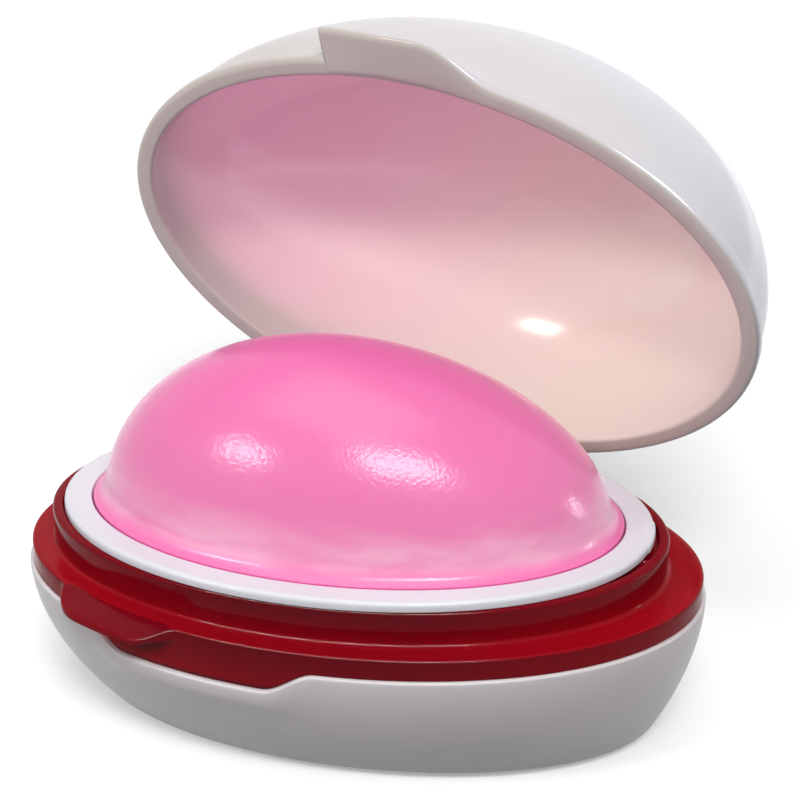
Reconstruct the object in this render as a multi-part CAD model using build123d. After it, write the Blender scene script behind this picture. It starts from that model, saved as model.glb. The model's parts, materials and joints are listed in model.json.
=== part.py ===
from build123d import *

import os
from math import cos, hypot, radians, sin

# Egg-shaped finger moistener, standing on a desk with its lid swung open. Millimetres, +Z up.
# The origin is on the desk under the middle of the oval, +X runs along the oval, +Y points to the hinge side.

# Tray flange: the oval that the base, the collar and the lid all follow
flange_half_length = 40.0
flange_half_width = 25.5
flange_top = 20.3
flange_thickness = 2.6

# Base shell: a bowl whose wall curves in to a flat foot
shell_overhang = 0.6
shell_wall = 2.0
shell_floor = 2.2
shell_curve = 1.8
shell_steps = 6
foot_half_length = 33.0
foot_half_width = 17.0
foot_shift = 1.9
foot_rounding = 2.0

# Thumb scoop: a shallow dip in the front of the shell rim, deepest under the lid tab.
# A lip on the tray's flange fills it, clear of its edge.
scoop_start_angle = -136.0
scoop_shoulder_angle = -126.0
scoop_deep_angle = -99.5
scoop_end_angle = -90.5
scoop_shoulder_depth = 2.7
scoop_deep_depth = 2.8
scoop_clearance = 0.2

# Tray: collar with a rim and a groove above the flange, plug skirt and water cup below it
collar_end_inset = 3.25
collar_side_inset = 2.6
collar_shift = -0.75
collar_height = 4.4
collar_rounding = 0.4
collar_rim = 1.2
groove_depth = 1.2
skirt_clearance = 1.0
skirt_depth = 4.2
skirt_wall = 1.6
cup_half_length = 30.5
cup_half_width = 18.5
cup_wall = 1.5
cup_floor = 1.6
cup_depth = 14.6

# Tab on the flange: it leaves the oval at a corner and runs out in an S-curve; oval angle and projection.
# Its top slopes down to a thin outer edge, and its root lies behind the slope.
tray_tab = ((-143.5, 0.0), (-139.0, 2.1), (-133.5, 3.0), (-121.0, 3.0), (-117.5, 1.5), (-114.5, 0.0))
tray_tab_thickness = 1.6
tray_tab_root = 0.4
tray_tab_drop = 0.8
tray_tab_slope = 2.4

# Soft dome: a moulded skin with a clamped flange round its foot, on a ledge inside the collar.
# Above the ring its foot flares in by the waist to the dome itself.
dome_shift = -0.9
dome_half_length = 31.6
dome_half_width = 19.7
dome_waist = 1.4
dome_flare_height = 2.0
dome_height = 20.6
dome_fullness = 1.9
dome_lean_x = -3.6
dome_lean_y = -0.4
dome_skin = 1.3
dome_flange_width = 1.6
dome_flange_thickness = 1.5
dome_clearance = 0.2

# Clamp ring: lies on the collar and holds the dome flange down; its widths are beside the dome's foot
ring_end_width = 3.5
ring_side_width = 3.4
ring_thickness = 1.2
ring_rounding = 0.4

# Wick sponge: fills the cup and rises under the dome
sponge_clearance = 0.3
sponge_shoulder = 0.8
sponge_headroom = 1.4

# Lid: the upper half of the egg, with a bead round its rim
lid_overhang = 0.3
lid_wall = 2.0
lid_height = 31.0
lid_fullness = 2.17
lid_lean_x = 4.2
lid_lean_y = -4.6
lid_seat_gap = 0.2
bead_height = 1.8
bead_projection = 0.35
lid_rim_rounding = 0.8
lid_tab = ((-115.0, 3.5), (-107.0, 3.55), (-99.5, 3.5), (-94.4, 2.75), (-89.8, 1.1), (-85.5, 0.0))
lid_tab_thickness = 1.6
lid_tab_root = 0.3
lid_tab_drop = 0.8
lid_tab_slope = 1.7

# Hinge: one lid knuckle between two base knuckles on a steel pin
hinge_turn = -11.25
hinge_outset = 2.5
hinge_drop = 0.4
knuckle_radius = 2.2
knuckle_clearance = 0.3
lid_knuckle_length = 8.0
base_knuckle_length = 4.5
knuckle_gap = 0.25
base_lug_drop = 7.0
lid_lug_rise = 6.5
stop_heel_drop = 3.6
stop_clearance = 0.2
pin_radius = 1.0
pin_press_clearance = 0.02
pin_running_clearance = 0.05
pin_end_recess = 0.25
lid_open_angle = 77.4

# Heights and places that follow from the sizes above
cap_steps = 9
flare_steps = 3
overlap = 1.0
shell_rim = flange_top - flange_thickness
collar_top = flange_top + collar_height
ring_top = collar_top + ring_thickness
ledge_level = collar_top - dome_flange_thickness
cup_bottom = ledge_level - cup_depth
lid_rim = flange_top + lid_seat_gap

axis_direction = (cos(radians(hinge_turn)), sin(radians(hinge_turn)), 0)
axis_outward = (-axis_direction[1], axis_direction[0], 0)
oval_support = hypot(flange_half_length * axis_outward[0], flange_half_width * axis_outward[1])
hinge_x = flange_half_length ** 2 * axis_outward[0] / oval_support + hinge_outset * axis_outward[0]
hinge_y = flange_half_width ** 2 * axis_outward[1] / oval_support + hinge_outset * axis_outward[1]
hinge_z = flange_top - hinge_drop
hinge_plane = Plane(origin=(hinge_x, hinge_y, hinge_z), x_dir=axis_outward, z_dir=axis_direction)
hinge_axis = Axis((hinge_x, hinge_y, hinge_z), axis_direction)
base_knuckle_place = (lid_knuckle_length + base_knuckle_length) / 2 + knuckle_gap


def oval(half_length, half_width, z, x=0.0, y=0.0):
    """Level oval face at height z."""
    return Pos(x, y, z) * Ellipse(half_length, half_width)


def oval_block(half_length, half_width, low, high, x=0.0):
    """Upright oval block between two heights."""
    return extrude(oval(half_length, half_width, low, x), high - low)


def oval_point(angle, projection, overhang=0.0):
    """Point at an oval angle, a given way outside the flange oval grown by overhang."""
    half_length = flange_half_length + overhang
    half_width = flange_half_width + overhang
    across = cos(radians(angle))
    along = sin(radians(angle))
    normal = Vector(across / half_length, along / half_width).normalized()
    return Vector(half_length * across, half_width * along) + normal * projection


def egg_cap(half_length, half_width, low, height, fullness, lean_x, lean_y, x=0.0):
    """Domed solid on a level oval: its sections shrink as a superellipse and lean with the square of the rise."""
    sections = []
    for step in range(cap_steps):
        rise = sin(radians(90 * step / cap_steps))
        shrink = (1 - rise ** fullness) ** (1 / fullness)
        lean = rise ** 2
        place = (x + lean_x * lean, lean_y * lean)
        sections.append(oval(half_length * shrink, half_width * shrink, low + height * rise, *place))
    return loft(sections + [Vertex(x + lean_x, lean_y, low + height)])


def bowl(wall, low):
    """Solid of the base shell's outline drawn in by wall, from the height low up to the rim."""
    sections = []
    for step in range(shell_steps + 1):
        z = shell_rim + (low - shell_rim) * step / shell_steps
        turn_in = ((shell_rim - z) / shell_rim) ** shell_curve
        length = flange_half_length + shell_overhang
        width = flange_half_width + shell_overhang
        half_length = length + (foot_half_length - length) * turn_in - wall
        half_width = width + (foot_half_width - width) * turn_in - wall
        sections.append(oval(half_length, half_width, z, foot_shift * turn_in))
    return loft(sections)


def flare(half_length, half_width, low, growth, height, x=0.0):
    """Solid whose oval sections lose their growth along a quarter of an ellipse, from a level start to upright."""
    sections = []
    for step in range(flare_steps + 1):
        turn = radians(90 * step / flare_steps)
        grow = growth * (1 - sin(turn))
        sections.append(oval(half_length + grow, half_width + grow, low + height * (1 - cos(turn)), x))
    return loft(sections)


def tab_outline(corners, overhang, inset, depth, z):
    """Level face of a tab, drawn in by inset: a step at its first corner, then a curve back into the oval."""
    outer = [oval_point(angle, projection - inset, overhang) for angle, projection in corners]
    first, last = corners[0][0], corners[-1][0]
    half_length, half_width = flange_half_length + overhang, flange_half_width + overhang
    run_out = Vector(-half_length * sin(radians(last)), half_width * cos(radians(last)))
    edge = Spline(*outer, tangents=[outer[1] - outer[0], run_out])
    sides = Polyline(outer[-1], oval_point(last, -depth, overhang), oval_point(first, -depth, overhang), outer[0])
    return Pos(0, 0, z) * make_face([edge, sides])


def tab(corners, overhang, root, low, thickness, drop, slope):
    """Finger tab on the oval, whose top slopes down by drop over the outermost slope."""
    depth = slope + root
    edge_top = low + thickness - drop
    outline = tab_outline(corners, overhang, 0, depth, low)
    outline_top = tab_outline(corners, overhang, 0, depth, edge_top)
    lip = extrude(outline, edge_top - low)
    return lip + loft([outline_top, tab_outline(corners, overhang, slope, depth, low + thickness)], ruled=True)


def knuckle(profile, centre, length):
    """Profile across the hinge axis, carried along it for a length about a centre."""
    return extrude(hinge_plane.offset(centre - length / 2) * profile, length)


def thumb_scoop(clearance):
    """Block over the dip in the front of the shell rim, shallower and shorter than the dip by clearance."""
    start = oval_point(scoop_start_angle, 0).X + clearance
    shoulder = oval_point(scoop_shoulder_angle, 0).X
    deep = oval_point(scoop_deep_angle, 0).X
    end = oval_point(scoop_end_angle, 0).X - clearance
    points = [(start, shell_rim), (shoulder, shell_rim - scoop_shoulder_depth + clearance)]
    points += [(deep, shell_rim - scoop_deep_depth + clearance), (end, shell_rim)]
    level = (1, 0)
    dip = Spline(*points, tangents=[level, level])
    sides = Polyline((end, shell_rim), (end, flange_top), (start, flange_top), (start, shell_rim))
    return extrude(Plane.XZ * make_face([dip, sides]), flange_half_width + 2 * overlap)


def base_shell():
    """White bowl with the thumb scoop in front and two hinge knuckles behind."""
    outside = bowl(0, 0)
    outside = fillet(outside.edges().group_by(Axis.Z)[0], foot_rounding)
    shell = outside - bowl(shell_wall, shell_floor) - thumb_scoop(0)
    reach = shell_overhang - hinge_outset - shell_wall / 2
    rim_level = hinge_drop - flange_thickness
    side = [(knuckle_radius, 0), (-knuckle_radius, 0), (-knuckle_radius, rim_level)]
    side += [(reach, rim_level), (reach, -base_lug_drop)]
    profile = Circle(knuckle_radius) + Polygon(*side, align=None) - Circle(pin_radius + pin_press_clearance)
    for place in (-base_knuckle_place, base_knuckle_place):
        shell += knuckle(profile, place, base_knuckle_length)
    return shell


def reservoir_tray():
    """Red insert: flange with its tab and scoop lip, collar, plug skirt and the water cup under the dome."""
    skirt_length = flange_half_length + shell_overhang - shell_wall - skirt_clearance
    skirt_width = flange_half_width + shell_overhang - shell_wall - skirt_clearance
    skirt_bottom = shell_rim - skirt_depth
    seat_growth = dome_flange_width + dome_clearance
    tray = oval_block(flange_half_length, flange_half_width, shell_rim, flange_top)
    collar_length = flange_half_length - collar_end_inset
    collar_width = flange_half_width - collar_side_inset
    collar = oval_block(collar_length, collar_width, flange_top, collar_top, collar_shift)
    tray += fillet(collar.edges().group_by(Axis.Z)[-1], collar_rounding)
    groove = (collar_length - collar_rim, collar_width - collar_rim)
    tray -= oval_block(*groove, collar_top - groove_depth, collar_top, collar_shift)
    tab_low = flange_top - tray_tab_thickness
    tray += tab(tray_tab, 0, tray_tab_root, tab_low, tray_tab_thickness, tray_tab_drop, tray_tab_slope)
    skirt_hollow = oval_block(skirt_length - skirt_wall, skirt_width - skirt_wall, skirt_bottom, shell_rim)
    tray += oval_block(skirt_length, skirt_width, skirt_bottom, shell_rim) - skirt_hollow
    lip = oval_block(flange_half_length, flange_half_width, skirt_bottom, shell_rim) - skirt_hollow
    tray += lip & thumb_scoop(scoop_clearance)
    tray += oval_block(cup_half_length + cup_wall, cup_half_width + cup_wall, cup_bottom, flange_top, dome_shift)
    tray -= oval_block(cup_half_length, cup_half_width, cup_bottom + cup_floor, collar_top, dome_shift)
    seat_length = dome_half_length + seat_growth
    tray -= oval_block(seat_length, dome_half_width + seat_growth, ledge_level, collar_top, dome_shift)
    return tray


def clamp_ring():
    """White oval ring on the collar, open for the dome."""
    outer = (dome_half_length + ring_end_width, dome_half_width + ring_side_width)
    ring = oval_block(*outer, collar_top, ring_top, dome_shift)
    hole_length = dome_half_length + dome_clearance
    ring -= oval_block(hole_length, dome_half_width + dome_clearance, collar_top, ring_top, dome_shift)
    return fillet(ring.edges().group_by(Axis.Z)[-1], ring_rounding)


def gel_dome():
    """Pink skin: flange in its seat, neck through the ring, flared foot and the dome above it."""
    flange_length = dome_half_length + dome_flange_width
    dome = oval_block(flange_length, dome_half_width + dome_flange_width, ledge_level, collar_top, dome_shift)
    dome += oval_block(dome_half_length, dome_half_width, collar_top, ring_top, dome_shift)
    lean = (dome_lean_x, dome_lean_y, dome_shift)
    outer = (dome_half_length - dome_waist, dome_half_width - dome_waist)
    dome += flare(*outer, ring_top, dome_waist, dome_flare_height, dome_shift)
    dome += egg_cap(*outer, ring_top, dome_height, dome_fullness, *lean)
    inner = (outer[0] - dome_skin, outer[1] - dome_skin)
    dome -= oval_block(*inner, ledge_level, ring_top, dome_shift)
    return dome - egg_cap(*inner, ring_top, dome_height - dome_skin, dome_fullness, *lean)


def wick_sponge():
    """Sponge block that stands on the cup floor and crowns under the dome."""
    floor = cup_bottom + cup_floor
    lower = (cup_half_length - sponge_clearance, cup_half_width - sponge_clearance)
    draw_in = dome_waist + dome_skin + sponge_shoulder
    upper = (dome_half_length - draw_in, dome_half_width - draw_in)
    crown = dome_height - dome_skin - sponge_headroom
    sponge = oval_block(*lower, floor, ledge_level - sponge_clearance, dome_shift)
    sponge += oval_block(*upper, ledge_level - sponge_clearance, ring_top, dome_shift)
    return sponge + egg_cap(*upper, ring_top, crown, dome_fullness, dome_lean_x, dome_lean_y, dome_shift)


def lid_shell():
    """White lid, built closed: upper half of the egg, rim bead, finger tab, hinge knuckle and its stop heel."""
    length = flange_half_length + lid_overhang
    width = flange_half_width + lid_overhang
    lean = (lid_fullness, lid_lean_x, lid_lean_y)
    inside = (length - lid_wall, width - lid_wall)
    rim_growth = lid_overhang + bead_projection
    lid = egg_cap(length, width, lid_rim, lid_height, *lean)
    lid += oval_block(length + bead_projection, width + bead_projection, lid_rim, lid_rim + bead_height)
    lid -= egg_cap(*inside, lid_rim, lid_height - lid_wall, *lean)
    lid -= flare(*inside, lid_rim, lid_rim_rounding, lid_rim_rounding)
    lid += tab(lid_tab, rim_growth, lid_tab_root, lid_rim, lid_tab_thickness, lid_tab_drop, lid_tab_slope)
    room = Circle(knuckle_radius + knuckle_clearance)
    for place in (-base_knuckle_place, base_knuckle_place):
        lid -= knuckle(room, place, base_knuckle_length + 2 * knuckle_gap)
    reach = rim_growth - hinge_outset - lid_wall / 2
    rim_level = hinge_drop + lid_seat_gap
    side = [(knuckle_radius, 0), (reach, lid_lug_rise), (reach, rim_level), (0, rim_level)]
    stop = shell_overhang - hinge_outset + stop_clearance
    heel = [(0, 0), (stop, hinge_drop - flange_thickness), (stop, -stop_heel_drop), (0, -stop_heel_drop)]
    profile = Circle(knuckle_radius) + Polygon(*side, align=None)
    profile += Rot(0, 0, lid_open_angle) * Polygon(*heel, align=None)
    profile -= Circle(pin_radius + pin_running_clearance)
    lid += knuckle(profile, 0, lid_knuckle_length)
    return lid.rotate(hinge_axis, -lid_open_angle)


def hinge_pin():
    """Steel pin through the three knuckles."""
    length = lid_knuckle_length + 2 * (knuckle_gap + base_knuckle_length - pin_end_recess)
    return knuckle(Circle(pin_radius), 0, length)


os.makedirs("parts", exist_ok=True)
for piece in (base_shell, reservoir_tray, clamp_ring, gel_dome, wick_sponge, lid_shell, hinge_pin):
    export_step(piece(), "parts/" + piece.__name__ + ".step")
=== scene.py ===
import json
import math

import bpy
import numpy as np
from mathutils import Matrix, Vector


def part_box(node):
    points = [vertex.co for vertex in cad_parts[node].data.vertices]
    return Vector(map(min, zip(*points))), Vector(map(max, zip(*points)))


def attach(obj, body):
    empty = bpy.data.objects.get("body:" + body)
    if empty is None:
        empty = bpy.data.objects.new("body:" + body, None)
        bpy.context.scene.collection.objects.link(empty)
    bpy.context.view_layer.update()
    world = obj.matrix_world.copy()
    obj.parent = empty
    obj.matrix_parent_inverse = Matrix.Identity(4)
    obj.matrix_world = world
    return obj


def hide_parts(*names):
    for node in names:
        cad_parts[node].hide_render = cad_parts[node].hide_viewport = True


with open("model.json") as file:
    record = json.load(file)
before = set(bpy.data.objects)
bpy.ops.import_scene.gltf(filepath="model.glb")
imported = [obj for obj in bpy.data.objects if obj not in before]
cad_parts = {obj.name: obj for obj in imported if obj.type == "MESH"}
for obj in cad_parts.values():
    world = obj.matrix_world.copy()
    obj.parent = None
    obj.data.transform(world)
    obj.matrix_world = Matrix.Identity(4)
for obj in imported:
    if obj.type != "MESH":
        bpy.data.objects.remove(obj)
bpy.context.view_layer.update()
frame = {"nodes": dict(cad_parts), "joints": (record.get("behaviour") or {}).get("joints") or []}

# Base shell: the lower half of the egg, a bowl of satin white plastic with a flat foot.
# It is moulded in one piece with a thumb scoop in the front of its rim and two hinge knuckles behind,
# and everything else stands in it.
mm = 0.001
tray_low, tray_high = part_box("reservoir_tray")
ring_low, ring_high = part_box("clamp_ring")
flange_half_length = tray_high[0]
flange_half_width = 25.5 * mm
flange_top = 20.3 * mm
flange_thickness = 2.6 * mm
shell_rim = flange_top - flange_thickness
shell_overhang = 0.6 * mm
shell_wall = 2.0 * mm
shell_floor = 2.2 * mm
shell_curve = 1.8
shell_half_length = flange_half_length + shell_overhang
shell_half_width = flange_half_width + shell_overhang
foot_half_length = 33.0 * mm
foot_half_width = 17.0 * mm
foot_shift = 1.9 * mm
foot_round_height = 1.7 * mm
foot_round_inset = 1.1 * mm
scoop_bottom = 2.8 * mm
scoop_height = 8.0 * mm
scoop_shoulder = (-136.0, -126.5)
scoop_end = (-99.5, -90.5)
wall_start = 2.4 * mm
wall_top = 17.0 * mm
inside_top = 16.4 * mm


def ease(value, start, end):
    """0 before start, 1 after end, and the smooth cubic 3t^2 - 2t^3 between them."""
    t = np.clip((value - start) / (end - start), 0.0, 1.0)
    return t * t * (3.0 - 2.0 * t)


def ring_angles(count, *steps):
    """Oval angles in degrees: count even ones, and close lines round each sharp step."""
    even = np.linspace(-180.0, 180.0, count, endpoint=False)
    near = np.array([-0.9, -0.3, -0.1, 0.0, 0.07, 0.14, 0.21, 0.28, 0.35, 0.45, 0.75, 1.3])
    return np.unique(np.concatenate([even] + [step + near for step in steps]))


def oval_grid(rows, angles, push=0.0, sags=()):
    """Grid of rings. A row is half length, half width, height, centre x, centre y, reach and any droops; its
    ring is centre + (half length cos u, half width sin u), moved along the flange oval's normal by reach
    times push(u) and down by the sum of each droop times its sag(u)."""
    u = np.radians(angles)
    normal = np.stack([np.cos(u) / flange_half_length, np.sin(u) / flange_half_width], 1)
    normal /= np.linalg.norm(normal, axis=1, keepdims=True)
    out = rows[:, 5, None] * push
    x = rows[:, 3, None] + rows[:, 0, None] * np.cos(u) + out * normal[:, 0]
    y = rows[:, 4, None] + rows[:, 1, None] * np.sin(u) + out * normal[:, 1]
    z = rows[:, 2, None] + np.zeros_like(x)
    for column, sag in enumerate(sags, 6):
        z -= rows[:, column, None] * sag
    return np.stack([x, y, z], 2)


def skin(name, grid, closed=False):
    """Mesh piece over a grid of rings: quads between neighbouring rings, and either a fan to a pole in the
    middle of the first and the last ring, or, when closed, quads from the last ring back to the first."""
    count, around = grid.shape[:2]
    index = np.arange(count * around).reshape(count, around)
    rings = np.vstack([index, index[:1]]) if closed else index
    beside = np.roll(rings, -1, axis=1)
    quads = np.stack([rings[:-1], beside[:-1], beside[1:], rings[1:]], 2).reshape(-1, 4)
    points = grid.reshape(-1, 3)
    faces = quads.tolist()
    if not closed:
        poles = grid[[0, -1]].mean(axis=1)
        first = np.full(around, len(points))
        fans = [np.stack([first, beside[0], rings[0]], 1), np.stack([rings[-1], beside[-1], first + 1], 1)]
        points = np.vstack([points, poles])
        faces += np.vstack(fans).tolist()
    return piece(name, points, faces)


def piece(name, points, faces, sharp=42.0):
    """Object with its place in its mesh, smooth but for edges that turn by more than sharp degrees."""
    mesh = bpy.data.meshes.new(name)
    mesh.from_pydata(np.asarray(points).tolist(), [], faces)
    mesh.validate()
    mesh.shade_smooth()
    mesh.set_sharp_from_angle(angle=math.radians(sharp))
    made = bpy.data.objects.new(name, mesh)
    bpy.context.scene.collection.objects.link(made)
    return made


def rounded(corners, radii, steps=5):
    """Rows along a profile of corners; each corner with a radius becomes a quadratic Bezier curve that
    starts and ends that far from it, measured along length and height."""
    corners = np.asarray(corners, float)
    t = np.linspace(0.0, 1.0, steps + 1)[:, None]
    rows = []
    for k, radius in enumerate(radii):
        at = corners[k]
        if not radius:
            rows.append(at[None])
            continue
        before, after = corners[k - 1], corners[(k + 1) % len(corners)]
        reach = [radius / max(np.hypot(*(end - at)[[0, 2]]), 1e-9) for end in (before, after)]
        start = at + (before - at) * min(reach[0], 0.5)
        end = at + (after - at) * min(reach[1], 0.5)
        rows.append((1 - t) ** 2 * start + 2 * t * (1 - t) * at + t ** 2 * end)
    return np.vstack(rows)


def bowl_rows(heights, wall):
    """Rows of the bowl: (rim - z) / rim to the power of the curve leads from rim oval to foot oval."""
    turn = np.clip((shell_rim - heights) / shell_rim, 0.0, 1.0) ** shell_curve
    length = shell_half_length + (foot_half_length - shell_half_length) * turn - wall
    width = shell_half_width + (foot_half_width - shell_half_width) * turn - wall
    nothing = np.zeros_like(turn)
    return np.stack([length, width, heights, foot_shift * turn, nothing, nothing], 1)


def scoop_depth(angles):
    """Depth of the thumb scoop: down at the shoulder, level along its bottom, an S-curve up to the rim."""
    return scoop_bottom * ease(angles, *scoop_shoulder) * (1 - ease(angles, *scoop_end))


def new_material(name, **sockets):
    """Material with one Principled shader and the given values on its own sockets."""
    material = bpy.data.materials.new(name)
    material.use_nodes = True
    shader = material.node_tree.nodes["Principled BSDF"]
    for socket, value in sockets.items():
        shader.inputs[socket.replace("_", " ")].default_value = value
    return material


def add_node(material, kind, links=(), **settings):
    """Shader node with its properties set, its inputs set or linked by name."""
    node = material.node_tree.nodes.new(kind)
    for key, value in settings.items():
        setattr(node, key, value)
    for socket, source in links:
        if hasattr(source, "is_output"):
            material.node_tree.links.new(source, node.inputs[socket])
        else:
            node.inputs[socket].default_value = source
    return node


def feed(material, socket, source):
    """Links a node's output to the Principled shader."""
    shader = material.node_tree.nodes["Principled BSDF"]
    material.node_tree.links.new(source, shader.inputs[socket])


def object_noise(material, scale, detail=3.0, roughness=0.55):
    """Noise on object coordinates; scale is in waves to the metre."""
    place = add_node(material, "ShaderNodeTexCoord").outputs["Object"]
    sockets = [("Vector", place), ("Scale", scale), ("Detail", detail), ("Roughness", roughness)]
    return add_node(material, "ShaderNodeTexNoise", sockets).outputs["Fac"]


def between(material, factor, low, high):
    """Noise factor mapped to low and high; nearly all of the noise lies between 0.3 and 0.7."""
    sockets = [("Value", factor), ("From Min", 0.3), ("From Max", 0.7), ("To Min", low), ("To Max", high)]
    return add_node(material, "ShaderNodeMapRange", sockets).outputs["Result"]


def tint(material, factor, dark, light):
    """Colour between two, each of them a colour or a node's output."""
    ends = [end if hasattr(end, "is_output") else (*end, 1.0) for end in (dark, light)]
    sockets = [("Factor", factor), ("A", ends[0]), ("B", ends[1])]
    node = add_node(material, "ShaderNodeMix", sockets, data_type="RGBA")
    return next(out for out in node.outputs if out.type == "RGBA")


def bump(material, height, distance, socket="Normal"):
    """Surface relief of a real height in metres, from 0 to 1 of the input, on the body or on its coat."""
    sockets = [("Height", height), ("Distance", distance)]
    feed(material, socket, add_node(material, "ShaderNodeBump", sockets).outputs["Normal"])


def white_plastic(name, gloss, shade):
    """Moulded white plastic, faintly cloudy in colour."""
    material = new_material(name, IOR=1.49, Roughness=gloss)
    dark, light = np.multiply.outer((0.97, 1.03), shade)
    feed(material, "Base Color", tint(material, object_noise(material, 90.0), dark, light))
    return material


shell_angles = ring_angles(300)
wall_heights = np.concatenate([np.linspace(0.0, foot_round_height, 8), np.linspace(wall_start, wall_top, 34)])
outer = bowl_rows(wall_heights, 0.0)
foot_round = foot_round_inset * np.clip(1.0 - wall_heights / foot_round_height, 0.0, 1.0) ** 2
outer[:, :2] -= foot_round[:, None]
foot = outer[:1] * np.array([[0.4, 0.4, 1, 1, 1, 1]])
top = bowl_rows(np.array([shell_rim, shell_rim]), 0.0)
top[1, :2] -= shell_wall
shell_rim_corners = np.vstack([outer[-1:], top, bowl_rows(np.array([wall_top]), shell_wall)])
rim = rounded(shell_rim_corners, [0, 0.35 * mm, 0.3 * mm, 0])
inner = bowl_rows(np.linspace(inside_top, shell_floor, 24), shell_wall)
floor_inside = inner[-1:] * np.array([[0.5, 0.5, 1, 1, 1, 1]])
shell_rows = np.vstack([foot, outer, rim[1:], inner, floor_inside])
shell_grid = oval_grid(shell_rows, shell_angles)
dip = scoop_depth(shell_angles) * ease(shell_grid[:, :, 2], shell_rim - scoop_height, shell_rim)
shell_grid[:, :, 2] -= dip
base_shell = skin("base_bowl", shell_grid)
satin_white = white_plastic("satin_white_plastic", 0.34, (0.66, 0.62, 0.635))
base_shell.data.materials.append(satin_white)
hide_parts("base_shell")
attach(base_shell, "base")

# Base knuckles: two lugs behind the bowl, part of its moulding, that carry the hinge pin.
# Each is a round eye with a foot that runs down into the bowl's wall.
lid_joint = frame["joints"][0]
pivot = np.array(lid_joint["pos_m"])
pin_axis = np.array(lid_joint["axis"]) / np.linalg.norm(lid_joint["axis"])
outward = np.array([-pin_axis[1], pin_axis[0], 0.0])
upward = np.array([0.0, 0.0, 1.0])
knuckle_radius = 2.2 * mm
lid_knuckle_length = 8.0 * mm
base_knuckle_length = 4.5 * mm
knuckle_gap = 0.25 * mm
base_lug_reach = -2.9 * mm
base_lug_drop = 7.0 * mm
knuckle_edge = 0.22 * mm


def arc(radius, start, end, count=20):
    """Points on a circle about the pin, from one angle to another, in degrees."""
    angles = np.radians(np.linspace(start, end, count))
    return radius * np.stack([np.cos(angles), np.sin(angles)], 1)


def lug(name, outline, places, length):
    """Outline across the pin (outward, upward) carried along it for a length, once about each place."""
    count = len(outline)
    flat = pivot + outline[:, :1] * outward + outline[:, 1:] * upward
    points = []
    faces = []
    for place in places:
        start = sum(len(block) for block in points)
        points += [flat + (place + side * length / 2) * pin_axis for side in (-1, 1)]
        near = start + np.arange(count)
        faces += np.stack([near, np.roll(near, -1), np.roll(near, -1) + count, near + count], 1).tolist()
        faces += [near[::-1].tolist(), (near + count).tolist()]
    made = piece(name, np.vstack(points), faces)
    edge = made.modifiers.new("moulded_edge", "BEVEL")
    edge.width = knuckle_edge
    edge.segments = 3
    edge.limit_method = "ANGLE"
    edge.angle_limit = math.radians(40)
    return made


lug_foot = np.array([base_lug_reach, -base_lug_drop])
lug_turn = math.atan2(lug_foot[1], lug_foot[0]) + math.acos(knuckle_radius / np.hypot(*lug_foot))
rim_level = shell_rim - pivot[2]
lug_corners = [[-knuckle_radius, rim_level], [base_lug_reach, rim_level], lug_foot]
base_outline = np.vstack([arc(knuckle_radius, math.degrees(lug_turn), 180.0), lug_corners])
base_place = (lid_knuckle_length + base_knuckle_length) / 2 + knuckle_gap
base_knuckles = lug("base_knuckles", base_outline, (-base_place, base_place), base_knuckle_length)
base_knuckles.data.materials.append(satin_white)
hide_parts("base_shell")
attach(base_knuckles, "base")

# Reservoir tray: a see-through red insert that drops into the bowl and hangs by its flange.
# It has a finger tab at the front left, a ledge and collar for the lid to close over, and a water cup.
# Each pair below is a half length and a half width of one of its ovals in millimetres.
dome_low, dome_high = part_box("gel_dome")
under_middle = (16.0, 10.0)
floor_middle = (15.0, 9.0)
cup_outside = (32.0, 20.0)
cup_inside = (30.5, 18.5)
skirt_inside = (36.0, 21.5)
skirt_outside = (37.6, 23.1)
flange_edge = (40.2, 25.7)
ledge = (39.0, 24.5)
collar_foot = (36.65, 22.6)
collar_edge = (36.8, 23.05)
groove_edge = (35.55, 21.7)
seat_edge = (33.4, 21.5)
collar_shift = -0.75 * mm
collar_top = ring_low[2]
seat_shift = (ring_low[0] + ring_high[0]) / 2
seat_level = dome_low[2]
cup_bottom = tray_low[2]
cup_floor = cup_bottom + 1.6 * mm
skirt_depth = 4.2 * mm
tab_reach = 3.1 * mm
tab_start = -143.5
tab_corner_turn = 10.0
tab_end = (-121.0, -114.5)
tab_thickness = 1.6 * mm
tab_drop = 0.8 * mm
tab_slope_width = 2.4 * mm
tab_step = 0.06 * mm
groove_depth = 1.2 * mm
rib_angle = -12.2
rib_height = 0.9 * groove_depth
rib_side = (0.7, 1.1)
lip_clearance = 0.08 * mm


def tray_row(length, width, height, shift=0.0, reach=0.0, slope=0.0, lip=0.0, rib=0.0):
    """One row of the tray's profile, its half length and half width in millimetres; the last three values say
    how far it goes down with the tab's slope, down with the scoop's lip and up with the groove's rib."""
    return [length * mm, width * mm, height, shift, 0.0, reach, slope, lip, -rib]


def tray_tab(angles):
    """Projection of the tray's tab: it leaves the oval at a corner, rounds off as 1 - (1 - s)^2 and ends in
    an S-curve."""
    s = np.clip((angles - tab_start) / tab_corner_turn, 0.0, 1.0)
    return tab_reach * (1 - (1 - s) ** 2) * (1 - ease(angles, *tab_end))


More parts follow.
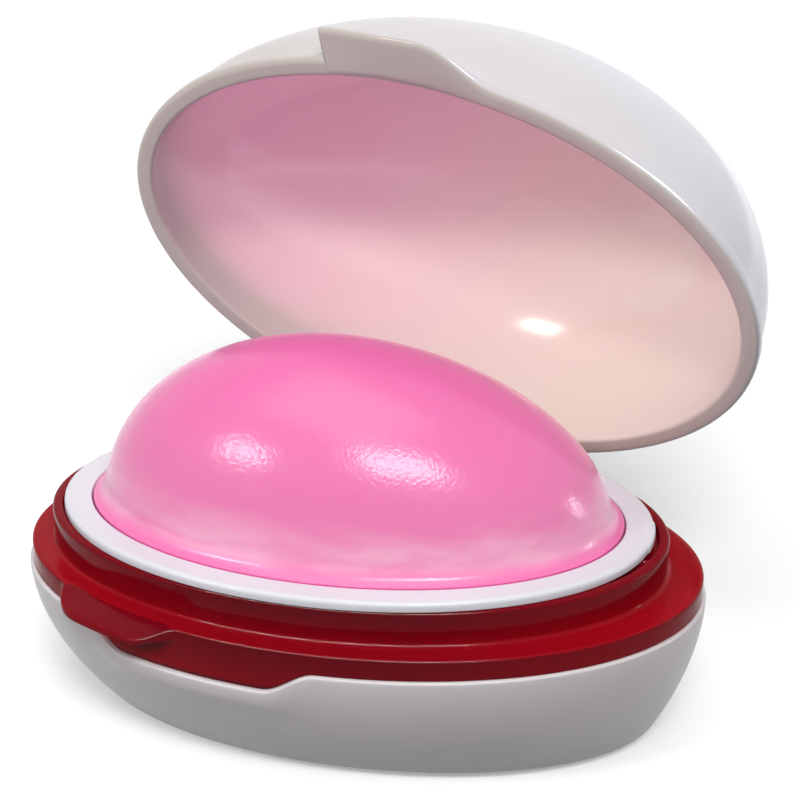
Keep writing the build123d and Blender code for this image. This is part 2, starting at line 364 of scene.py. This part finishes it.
tab_under = flange_top - tab_thickness
skirt_bottom = shell_rim - skirt_depth
groove_floor = collar_top - groove_depth
tray_corners = [
    tray_row(*under_middle, cup_bottom, seat_shift),
    tray_row(*cup_outside, cup_bottom, seat_shift),
    tray_row(*cup_outside, shell_rim, seat_shift),
    tray_row(*skirt_inside, shell_rim),
    tray_row(*skirt_inside, skirt_bottom),
    tray_row(*skirt_outside, skirt_bottom),
    tray_row(*skirt_outside, shell_rim, lip=1.0),
    tray_row(*flange_edge, shell_rim, lip=1.0),
    tray_row(*flange_edge, tab_under - tab_step),
    tray_row(*flange_edge, tab_under, reach=1.0),
    tray_row(*flange_edge, flange_top, reach=1.0, slope=1.0),
    tray_row(*ledge, flange_top),
    tray_row(*collar_foot, flange_top, collar_shift),
    tray_row(*collar_edge, collar_top, collar_shift),
    tray_row(*groove_edge, collar_top, collar_shift),
    tray_row(*groove_edge, groove_floor, collar_shift, rib=1.0),
    tray_row(*seat_edge, groove_floor, seat_shift, rib=1.0),
    tray_row(*seat_edge, seat_level, seat_shift),
    tray_row(*cup_inside, seat_level, seat_shift),
    tray_row(*cup_inside, cup_floor, seat_shift),
    tray_row(*floor_middle, cup_floor, seat_shift),
]
cup_radii = [0, 1.2, 0.4, 0.4, 0.3, 0.3]
flange_radii = [0.4, 0.25, 0, 0.2, 0.35, 0.5]
collar_radii = [0.6, 0.5, 0.2, 0.2, 0.1, 0.1]
tray_radii = cup_radii + flange_radii + collar_radii + [0.4, 1.0, 0]
tray_rows = rounded(tray_corners, np.array(tray_radii) * mm)
tray_angles = ring_angles(360, rib_angle)
tab_push = tray_tab(tray_angles)
tab_slope = tab_drop * np.clip(tab_push / tab_slope_width, 0.0, 1.0)
scoop_lip = np.clip(scoop_depth(tray_angles) - lip_clearance, 0.0, None)
groove_rib = rib_height * (1 - ease(np.abs(tray_angles - rib_angle), *rib_side))
tray = skin("water_tray", oval_grid(tray_rows, tray_angles, tab_push, (tab_slope, scoop_lip, groove_rib)))


def ramp(material, value, start, end):
    """0 at start and before it, 1 at end and past it, in a straight line between them."""
    sockets = [("Value", value), ("From Min", start), ("From Max", end)]
    return add_node(material, "ShaderNodeMapRange", sockets).outputs["Result"]


def worked(material, operation, *values):
    """Result of one Math node on numbers or nodes' outputs."""
    return add_node(material, "ShaderNodeMath", enumerate(values), operation=operation).outputs[0]


def object_axes(material):
    """X, Y and Z of the place on the piece."""
    place = add_node(material, "ShaderNodeTexCoord").outputs["Object"]
    return add_node(material, "ShaderNodeSeparateXYZ", [("Vector", place)]).outputs


def red_plastic():
    """See-through red plastic with a polished skin, with painted light and shade in its colour: brighter to
    its ends, as if more light passed through them, and on each wall brighter to the foot, as 1 - fract((z -
    foot) / wall height), a painted glow where light comes up through it, with painted shade toward the top."""
    wall_height = 4.7 * mm
    dark_middle = 10.0 * mm
    wall_share = 0.55
    end_share = 0.45
    material = new_material("clear_red_plastic", IOR=1.18, Specular_IOR_Level=0.25, Transmission_Weight=0.3)
    axes = object_axes(material)
    # painted light: the tray's colour is lifted toward its ends and toward the foot of each wall, standing in
    # for light coming through the plastic
    painted_end_light = ramp(material, worked(material, "ABSOLUTE", axes["X"]), dark_middle, flange_half_length)
    above_foot = worked(material, "SUBTRACT", axes["Z"], flange_top - 0.1 * mm)
    up_wall = worked(material, "FRACT", worked(material, "DIVIDE", above_foot, wall_height))
    painted_wall_light = worked(material, "MULTIPLY", ramp(material, up_wall, 1.0, 0.0), wall_share)
    clear = worked(material, "MULTIPLY_ADD", painted_end_light, end_share, painted_wall_light)
    feed(material, "Base Color", tint(material, clear, (0.17, 0.002, 0.010), (0.44, 0.004, 0.012)))
    feed(material, "Roughness", between(material, object_noise(material, 500.0), 0.06, 0.14))
    return material


tray.data.materials.append(red_plastic())
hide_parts("reservoir_tray")
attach(tray, "base")

# Wick sponge: an open-cell sponge block that stands in the water cup and crowns up under the dome.
# It keeps the dome damp from inside and shows only as a pale body behind the pink.
sponge_low, sponge_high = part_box("wick_sponge")
dome_half_length = 31.6 * mm
dome_half_width = 19.7 * mm
dome_fullness = 1.9
dome_waist = 1.4 * mm
dome_lean = (-3.6 * mm, -0.4 * mm)
ring_top = ring_high[2]


def crown_rows(length, width, low, high, fullness, lean, steps=40, last=86.0):
    """Rows of a domed top: at rise t = sin(angle) the oval shrinks by (1 - t^n)^(1/n) and leans by t^2."""
    t = np.sin(np.radians(np.linspace(0.0, last, steps)))
    shrink = (1.0 - t ** fullness) ** (1.0 / fullness)
    rows = [length * shrink, width * shrink, low + (high - low) * t]
    return np.stack(rows + [seat_shift + lean[0] * t ** 2, lean[1] * t ** 2, np.zeros_like(t)], 1)


block_side = (30.2 * mm, 18.2 * mm)
block_top = (28.1 * mm, 16.2 * mm)
block_middle = (15.0 * mm, 9.0 * mm)
side_height = seat_level - 0.8 * mm
top_height = seat_level - 0.3 * mm
block = [block_middle, block_side, block_side, block_top]
block_heights = [sponge_low[2], sponge_low[2], side_height, top_height]
block_rows = [[*size, height, seat_shift, 0.0, 0.0] for size, height in zip(block, block_heights)]
sponge_rows = rounded(block_rows, [0, 0.8 * mm, 0.8 * mm, 0])
crown = crown_rows(*block_top, ring_top, sponge_high[2], dome_fullness, dome_lean)
sponge = skin("wick_sponge_block", oval_grid(np.vstack([sponge_rows, crown]), ring_angles(160)))


def wet_sponge():
    """Damp open-cell sponge: cream, with its pores coloured darker as painted shade in the pits."""
    material = new_material("damp_sponge", Roughness=0.75)
    place = add_node(material, "ShaderNodeTexCoord").outputs["Object"]
    cells = [("Vector", place), ("Scale", 900.0)]
    pores = add_node(material, "ShaderNodeTexVoronoi", cells).outputs["Distance"]
    # painted shade: the pits of the pores are coloured darker
    feed(material, "Base Color", tint(material, pores, (0.62, 0.30, 0.34), (0.88, 0.62, 0.62)))
    bump(material, pores, 0.25 * mm)
    return material


sponge.data.materials.append(wet_sponge())
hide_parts("wick_sponge")
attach(sponge, "base")

# Gel dome: the soft pink skin that wets the fingertip, moulded with a fine pebble grain.
# Its flange lies in a seat inside the collar and flares a little where it comes up through the ring.
dome_skin = 1.3 * mm
flare_height = 2.0 * mm
flange_growth = 1.6 * mm
body_length = dome_half_length - dome_waist
body_width = dome_half_width - dome_waist
inside = crown_rows(body_length - dome_skin, body_width - dome_skin, ring_top,
                    dome_high[2] - dome_skin, dome_fullness, dome_lean)[::-1]


def dome_row(growth, height):
    """One row of the dome's foot, grown from the foot oval."""
    return [dome_half_length + growth, dome_half_width + growth, height, seat_shift, 0.0, 0.0]


neck_inset = -dome_waist - dome_skin
foot_corners = [dome_row(neck_inset, ring_top - 0.2 * mm), dome_row(neck_inset, seat_level),
                dome_row(flange_growth, seat_level), dome_row(flange_growth, collar_top),
                dome_row(0.0, collar_top), dome_row(0.0, ring_top - 0.1 * mm)]
foot_rows = rounded(foot_corners, [0, 0.2 * mm, 0.3 * mm, 0.2 * mm, 0.2 * mm, 0])
outside = crown_rows(body_length, body_width, ring_top, dome_high[2], dome_fullness, dome_lean, 110, 88.0)
flare_turn = np.arccos(1 - np.clip((outside[:, 2] - ring_top) / flare_height, 0.0, 1.0))
outside[:, :2] += dome_waist * (1 - np.sin(flare_turn))[:, None]
dome = skin("soft_dome", oval_grid(np.vstack([inside, foot_rows, outside]), ring_angles(320)))


def pink_gel():
    """Soft translucent pink, moist, with painted light and shade in its colour: paler low down and deeper to
    the top, as if light came through the lower skin;
    painted shade at the very foot; and pale streaks low down between them, painted light where light comes
    through."""
    material = new_material("pink_gel", Subsurface_Weight=0.35, Subsurface_Scale=0.0012,
                            Subsurface_Radius=(1.0, 0.35, 0.6), Roughness=0.4, Specular_IOR_Level=0.1,
                            Coat_Weight=1.0, Coat_IOR=1.43)
    painted_shade_foot = (ring_top + 1.4 * mm, ring_top + 0.2 * mm)
    streak_top = (ring_top + 7.0 * mm, ring_top + 2.5 * mm)
    streak_foot = (ring_top + 0.2 * mm, ring_top + 1.2 * mm)
    height = object_axes(material)["Z"]
    # painted light: the dome's colour is paler low down and deeper toward the top, standing in for light
    # through the skin
    to_top = ramp(material, height, ring_top, dome_high[2])
    body = tint(material, to_top, (0.90, 0.25, 0.50), (0.80, 0.145, 0.395))
    # painted shade: the very foot is coloured deeper, against the light that the flare catches
    painted_shade_at_foot = ramp(material, height, *painted_shade_foot)
    body = tint(material, painted_shade_at_foot, body, (0.83, 0.17, 0.42))
    place = add_node(material, "ShaderNodeTexCoord").outputs["Object"]
    flat_place = add_node(material, "ShaderNodeMapping", [("Vector", place), ("Scale", (1.0, 1.0, 3.5))])
    cloud_sockets = [("Vector", flat_place.outputs["Vector"]), ("Scale", 95.0), ("Detail", 2.0)]
    cloud = add_node(material, "ShaderNodeTexNoise", cloud_sockets).outputs["Fac"]
    below = ramp(material, height, *streak_top)
    over = ramp(material, height, *streak_foot)
    band = worked(material, "MULTIPLY", below, over)
    # painted light: pale streaks low on the dome, standing in for light coming through the skin
    painted_light_streak = worked(material, "MULTIPLY", between(material, cloud, 0.0, 0.85), band)
    feed(material, "Base Color", tint(material, painted_light_streak, body, (0.98, 0.50, 0.68)))
    feed(material, "Coat Roughness", between(material, object_noise(material, 300.0), 0.17, 0.24))
    bump(material, object_noise(material, 2000.0, 1.0), 0.034 * mm, "Coat Normal")
    return material


dome.data.materials.append(pink_gel())
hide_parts("gel_dome")
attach(dome, "base")

# Clamp ring: a flat white oval that lies on the collar and holds the dome's flange down.
# Its outer edge is rounded over, with a gate mark on its right end; its inner edge is close round the dome.
ring_half_length = (ring_high[0] - ring_low[0]) / 2
ring_half_width = (ring_high[1] - ring_low[1]) / 2
ring_clearance = 0.2 * mm
gate_reach = 0.12 * mm
gate_side = (7.4, 7.75)
gate_lines = (-7.6, 7.4)
hole = [dome_half_length + ring_clearance, dome_half_width + ring_clearance]
edge = [ring_half_length, ring_half_width]
flat = [seat_shift, 0.0]
ring_corners = [[*edge, collar_top, *flat, 1.0], [*edge, ring_top, *flat, 1.0],
                [*hole, ring_top, *flat, 0.0], [*hole, collar_top, *flat, 0.0]]
ring_rows = rounded(ring_corners, np.array([0.2, 0.75, 0.3, 0.1]) * mm, 7)
ring_turn = ring_angles(320, *gate_lines)
gate_mark = gate_reach * (1 - ease(np.abs(ring_turn), *gate_side))
ring = skin("clamp_ring_oval", oval_grid(ring_rows, ring_turn, gate_mark), closed=True)
ring.data.materials.append(white_plastic("ring_white_plastic", 0.3, (0.71, 0.71, 0.76)))
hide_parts("clamp_ring")
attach(ring, "base")

# Lid: the upper half of the egg in glossy white plastic, with a low bead round the outside of its rim.
# A finger tab grows out of the rim at the front, sharp at one end and run out at the other.
# It is worked out closed and then swung open about the pin to the frame's rest pose.
lid_rim = flange_top + 0.2 * mm
lid_height = 31.0 * mm
lid_wall = 2.0 * mm
lid_fullness = 2.17
lid_lean = (4.2 * mm, -4.6 * mm)
lid_overhang = 0.3 * mm
bead = 0.35 * mm
bead_height = 1.8 * mm
lid_tab_start = -115.2
lid_tab_edge = lid_tab_start + 0.35
lid_tab_level = -108.0
lid_tab_straight = -104.0
lid_tab_end = (-98.5, -85.0)
lid_tab_root = (1.0 * mm, 3.4 * mm)
lid_tab_reach = 3.5 * mm
lid_tab_lift = 0.12 * mm
lid_tab_lean = 0.6 * mm
lid_tab_raise = 0.55 * mm
step_inset = 0.2 * mm
step_fade = (2.0 * mm, 9.0 * mm)
rim_steps = 7
lid_half_length = flange_half_length + lid_overhang
lid_half_width = flange_half_width + lid_overhang
hinge_angle = 72.7
relief_depth = 0.75 * mm
relief_side = (13.5, 15.5)


def lid_rows(rises, wall):
    """Rows of the lid's wall at rises t from 0 to 1: a superellipse that leans along the oval by t^2."""
    shrink = (1.0 - rises ** lid_fullness) ** (1.0 / lid_fullness)
    oval = [(lid_half_length - wall) * shrink, (lid_half_width - wall) * shrink]
    rows = oval + [lid_rim + (lid_height - wall) * rises]
    return np.stack(rows + [lid_lean[0] * rises ** 2, lid_lean[1] * rises ** 2, np.zeros_like(rises)], 1)


def lid_push(angles):
    """Projection of the lid's tab: a sharp step, highest at its corner, level along it, then an S-curve to
    nothing."""
    level = lid_tab_reach + lid_tab_lift * (1 - ease(angles, lid_tab_start, lid_tab_level))
    return level * ease(angles, lid_tab_start, lid_tab_edge) * (1 - ease(angles, *lid_tab_end))


def tab_corner(reach, angles):
    """Move of the tab's sharp end, in step with its projection: along the rim, out over its root, and up."""
    u = np.radians(angles)
    along = np.stack([-lid_half_length * np.sin(u), lid_half_width * np.cos(u)], 1)
    along /= np.linalg.norm(along, axis=1, keepdims=True)
    move = np.column_stack([-lid_tab_lean * along, np.full_like(u, lid_tab_raise)])
    share = lid_push(angles) / lid_tab_reach * (1 - ease(angles, lid_tab_edge, lid_tab_straight))
    return (reach[:, None] * share)[:, :, None] * move


def hinge_relief(angles):
    """Depth of the dip in the lid's rim that clears the base knuckles."""
    return relief_depth * (1 - ease(np.abs(angles - hinge_angle), *relief_side))


def swing_open(points):
    """Closed lid's points turned about the pin to the open rest pose."""
    turn = -math.radians(max(lid_joint["range_deg"]))
    arm = points - pivot
    along = arm @ pin_axis
    turned = arm * math.cos(turn) + np.cross(pin_axis, arm) * math.sin(turn)
    return pivot + turned + along[..., None] * pin_axis * (1 - math.cos(turn))


wall_rises = np.sin(np.radians(np.linspace(7.0, 87.5, 70)))
lid_inside = lid_rows(np.sin(np.radians(np.linspace(87.5, 3.0, 60))), lid_wall)
lid_outside = lid_rows(wall_rises, 0.0)
lid_outside[:, :2] -= step_inset * (1 - ease(lid_outside[:, 2:3] - lid_rim, *step_fade))
rim_in = lid_rows(np.array([0.0]), lid_wall)
rim_out = lid_rows(np.array([0.0]), -bead)
rim_out[0, 5] = 1.0
bead_top = rim_out.copy()
bead_top[0, 2] = lid_rim + bead_height
bead_foot = lid_rows(np.array([(bead_height + 0.25 * mm) / lid_height]), 0.0)
bead_foot[:, :2] -= step_inset
lid_rim_corners = np.vstack([lid_inside[-1:], rim_in, rim_out, bead_top, bead_foot, lid_outside[:1]])
rim_band = rounded(lid_rim_corners, np.array([0, 0.6, 0.8, 0.3, 0.2, 0]) * mm, rim_steps)
lid_profile = np.vstack([lid_inside[:-1], rim_band, lid_outside[1:]])
above = lid_profile[:, 2] - lid_rim
rim_turn = len(lid_inside) + rim_steps - 1
is_outer = np.arange(len(lid_profile)) > rim_turn
lid_profile[:, 5] = np.where(is_outer, 1 - ease(above, *lid_tab_root), lid_profile[:, 5])
lid_angles = ring_angles(360, lid_tab_start)
lid_grid = oval_grid(lid_profile, lid_angles, lid_push(lid_angles) - hinge_relief(lid_angles))
lid_grid += tab_corner(lid_profile[:, 5], lid_angles)
lid = skin("egg_lid", swing_open(lid_grid))
gloss_white = white_plastic("gloss_white_plastic", 0.13, (0.71, 0.70, 0.745))
lid.data.materials.append(gloss_white)
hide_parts("lid_shell")
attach(lid, "lid")

# Lid knuckle: the lug between the base knuckles, moulded with the lid.
# Its arm runs up into the lid's wall, and a heel under it meets the bowl when the lid is fully open.
lid_lug_reach = -3.6 * mm
lid_lug_rise = 6.5 * mm
seat_height = lid_rim - pivot[2]
arm_top = np.array([lid_lug_reach, lid_lug_rise])
arm_turn = math.atan2(arm_top[1], arm_top[0]) - math.acos(knuckle_radius / np.hypot(*arm_top))
arm_foot = [-math.sqrt(knuckle_radius ** 2 - seat_height ** 2), seat_height]
foot_turn = math.degrees(math.atan2(arm_foot[1], arm_foot[0]))
open_turn = math.radians(max(lid_joint["range_deg"]))
hinge_outset = 2.5 * mm
stop_clearance = 0.2 * mm
heel_drop = -3.6 * mm
heel_face = -(hinge_outset - shell_overhang) + stop_clearance
heel = np.array([[heel_face, rim_level], [heel_face, heel_drop], [0.0, heel_drop]])
open_cos, open_sin = math.cos(open_turn), math.sin(open_turn)
heel = heel @ np.array([[open_cos, open_sin], [-open_sin, open_cos]])
heel_start = math.degrees(math.atan2(heel[0, 1], heel[0, 0]))
heel_end = math.degrees(math.atan2(heel[2, 1], heel[2, 0]))
lid_outline = np.vstack([
    arc(knuckle_radius, heel_end, math.degrees(arm_turn), 10), arm_top, [lid_lug_reach, seat_height],
    arc(knuckle_radius, foot_turn, heel_start + 360.0), heel])
lid_knuckle = lug("lid_knuckle", lid_outline, (0.0,), lid_knuckle_length)
swung = np.empty(len(lid_knuckle.data.vertices) * 3)
lid_knuckle.data.vertices.foreach_get("co", swung)
lid_knuckle.data.vertices.foreach_set("co", swing_open(swung.reshape(-1, 3)).ravel())
lid_knuckle.data.update()
lid_knuckle.data.materials.append(gloss_white)
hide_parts("lid_shell")
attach(lid_knuckle, "lid")

# Hinge pin: a short drawn-steel wire pressed through the base knuckles.
# Only its two ends show, bright and faintly mottled.
pin_steel = new_material("drawn_steel", Metallic=1.0)
drawn_grain = object_noise(pin_steel, 1500.0)
feed(pin_steel, "Base Color", tint(pin_steel, drawn_grain, (0.52, 0.52, 0.54), (0.66, 0.66, 0.68)))
feed(pin_steel, "Roughness", between(pin_steel, object_noise(pin_steel, 2500.0), 0.25, 0.4))
pin = frame["nodes"]["hinge_pin"]
pin.data.materials.clear()
pin.data.materials.append(pin_steel)

# Studio: a pale floor, soft boxes where the photograph's highlights lie, and a camera at its viewing angle.
# Camera, mirror and see-through rays meet a white room; the boxes and a dim air light the object.
floor_half = 1.5
floor_corners = floor_half * np.array([(-1, -1, 0), (1, -1, 0), (1, 1, 0), (-1, 1, 0)])
studio_floor = piece("studio_floor", floor_corners, [(0, 1, 2, 3)])
floor_shown = (0.92, 0.92, 0.92)
floor_bounce = (0.13, 0.13, 0.13)
floor_glow = 0.32
shade_radius = 0.2
white_radius = 0.5
air_strength = 0.1
object_middle = np.array([0.0, 0.0, 0.035])
lamp_distance = 0.9


def seen_directly(material):
    """1 for camera, mirror and see-through rays, 0 for rays that carry light on to a surface."""
    path = add_node(material, "ShaderNodeLightPath").outputs
    either = worked(material, "MAXIMUM", path["Is Camera Ray"], path["Is Glossy Ray"])
    return worked(material, "MAXIMUM", either, path["Is Transmission Ray"])


floor_white = new_material("pale_floor", Roughness=0.9, Specular_IOR_Level=0.1,
                           Emission_Color=(1.0, 1.0, 1.0, 1.0))
shown = seen_directly(floor_white)
feed(floor_white, "Base Color", tint(floor_white, shown, floor_bounce, floor_shown))
floor_place = add_node(floor_white, "ShaderNodeTexCoord").outputs["Object"]
away = add_node(floor_white, "ShaderNodeVectorMath", [(0, floor_place)], operation="LENGTH").outputs["Value"]
far_white = [("Value", away), ("From Min", shade_radius), ("From Max", white_radius),
             ("To Min", floor_glow), ("To Max", 1.0)]
glow = add_node(floor_white, "ShaderNodeMapRange", far_white).outputs["Result"]
feed(floor_white, "Emission Strength", worked(floor_white, "MULTIPLY", glow, shown))
studio_floor.data.materials.append(floor_white)


def area_lamp(name, shape, size, power, colour):
    """Area lamp of a shape and a size in metres, in the scene but not yet placed."""
    lamp = bpy.data.lights.new(name, "AREA")
    lamp.shape = shape
    lamp.size, lamp.size_y = size
    lamp.energy = power
    lamp.color = colour
    holder = bpy.data.objects.new(name, lamp)
    bpy.context.scene.collection.objects.link(holder)
    return holder


def soft_box(name, azimuth, elevation, size, power, colour=(1.0, 1.0, 1.0)):
    """Lamp aimed at the middle of the object from an azimuth and an elevation in degrees; its size is in
    metres and its power in watts."""
    a, e = math.radians(azimuth), math.radians(elevation)
    direction = np.array([math.sin(a) * math.cos(e), -math.cos(a) * math.cos(e), math.sin(e)])
    holder = area_lamp(name, "RECTANGLE", size, power, colour)
    holder.location = object_middle + direction * lamp_distance
    holder.rotation_euler = (math.radians(90.0 - elevation), 0.0, a)
    return holder


def bounce(name, across, up, tilt, size, power, colour):
    """Small lamp in the lid's mouth for light thrown up by a coloured piece, facing in and tilted down by
    some degrees; it swings with the lid, and camera and mirrors don't see it."""
    holder = area_lamp(name, "ELLIPSE", size, power, colour)
    holder.location = mouth_middle + across * pin_axis + up * mouth_up
    facing = math.cos(math.radians(tilt)) * mouth_in - math.sin(math.radians(tilt)) * mouth_up
    holder.rotation_euler = Vector(facing).to_track_quat("-Z", "Y").to_euler()
    holder.visible_camera = holder.visible_glossy = holder.visible_transmission = False
    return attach(holder, "lid")


def linked(name, pieces, state):
    """Collection that names some pieces alone (INCLUDE) or everything but them (EXCLUDE)."""
    group = bpy.data.collections.new(name)
    for made in pieces:
        group.objects.link(made)
    for entry in group.collection_objects:
        entry.light_linking.link_state = state
    return group


def aim(lamp, pieces, state):
    """Lets a lamp light some pieces alone or everything but them."""
    lamp.light_linking.receiver_collection = linked(lamp.name + "_lights", pieces, state)


lid_pieces = (lid, lid_knuckle)
edge_strip = soft_box("edge_strip", -8.0, 45.0, (1.0, 0.15), 55.0)
edge_strip.visible_diffuse = edge_strip.visible_transmission = False
aim(edge_strip, (tray,), "INCLUDE")
back_box = soft_box("back_box", 180.0, 12.0, (0.60, 0.40), 3.0)
back_box.visible_glossy = False
aim(back_box, (studio_floor,), "EXCLUDE")
aim(soft_box("key_box", 20.0, 47.5, (0.37, 0.20), 4.6), lid_pieces, "EXCLUDE")
aim(soft_box("left_box", -44.5, 33.5, (0.24, 0.15), 2.3), lid_pieces, "EXCLUDE")
aim(soft_box("right_glint", 102.0, 9.0, (0.07, 0.16), 0.8), lid_pieces, "EXCLUDE")
lid_box = soft_box("lid_box", -43.0, 60.0, (0.13, 0.085), 1.1, (1.0, 0.84, 0.74))
aim(lid_box, lid_pieces, "INCLUDE")
# The lid's thin wall lets this box shine through, so the lid throws no shadow on itself.
lid_box.light_linking.blocker_collection = linked("through_thin_lid", lid_pieces, "EXCLUDE")
aim(soft_box("right_box", 118.0, 42.0, (0.30, 0.30), 5.0, (0.88, 0.92, 1.0)), lid_pieces, "INCLUDE")
left_fill = soft_box("left_fill", -42.0, 41.0, (0.16, 0.12), 3.3, (1.0, 0.86, 0.70))
key_fill = soft_box("key_fill", 20.0, 47.5, (0.16, 0.12), 1.5, (1.0, 0.94, 0.80))
left_fill.visible_glossy = key_fill.visible_glossy = False
aim(left_fill, lid_pieces, "INCLUDE")
aim(key_fill, lid_pieces, "INCLUDE")
aim(soft_box("top_box", -30.0, 80.0, (0.70, 0.70), 3.2), lid_pieces, "EXCLUDE")
mouth_in = swing_open(pivot + upward) - pivot
mouth_up = np.cross(pin_axis, mouth_in)
mouth_middle = swing_open(np.array([0.0, 0.0, lid_rim + 3.0 * mm]))
dome_glow = bounce("dome_glow", -13.0 * mm, 2.0 * mm, -4.0, (0.040, 0.034), 0.0028, (1.0, 0.22, 0.46))
tray_glow = bounce("tray_glow", 13.0 * mm, -2.0 * mm, 44.0, (0.03, 0.03), 0.0017, (1.0, 0.74, 0.42))
aim(dome_glow, lid_pieces, "INCLUDE")
aim(tray_glow, lid_pieces, "INCLUDE")

world = bpy.data.worlds.new("studio_air")
world.use_nodes = True
air = [("Value", seen_directly(world)), ("To Min", air_strength), ("To Max", 1.0)]
strength = add_node(world, "ShaderNodeMapRange", air).outputs["Result"]
background = world.node_tree.nodes["Background"]
background.inputs["Color"].default_value = (1.0, 1.0, 1.0, 1.0)
world.node_tree.links.new(strength, background.inputs["Strength"])
bpy.context.scene.world = world

view = bpy.data.cameras.new("photo_view")
view.sensor_width = 36.0
view.lens = 110.8
view.shift_x = 0.0668
view.shift_y = 0.0072
view.clip_start = 0.01
camera = bpy.data.objects.new("photo_view", view)
view_down = 24.98
view_turn = 11.55
camera.location = (0.04972, -0.25318, 0.15901)
camera.rotation_euler = (math.radians(90.0 - view_down), 0.0, math.radians(view_turn))
bpy.context.scene.collection.objects.link(camera)
bpy.context.scene.camera = camera
bpy.context.scene.view_settings.view_transform = "Standard"
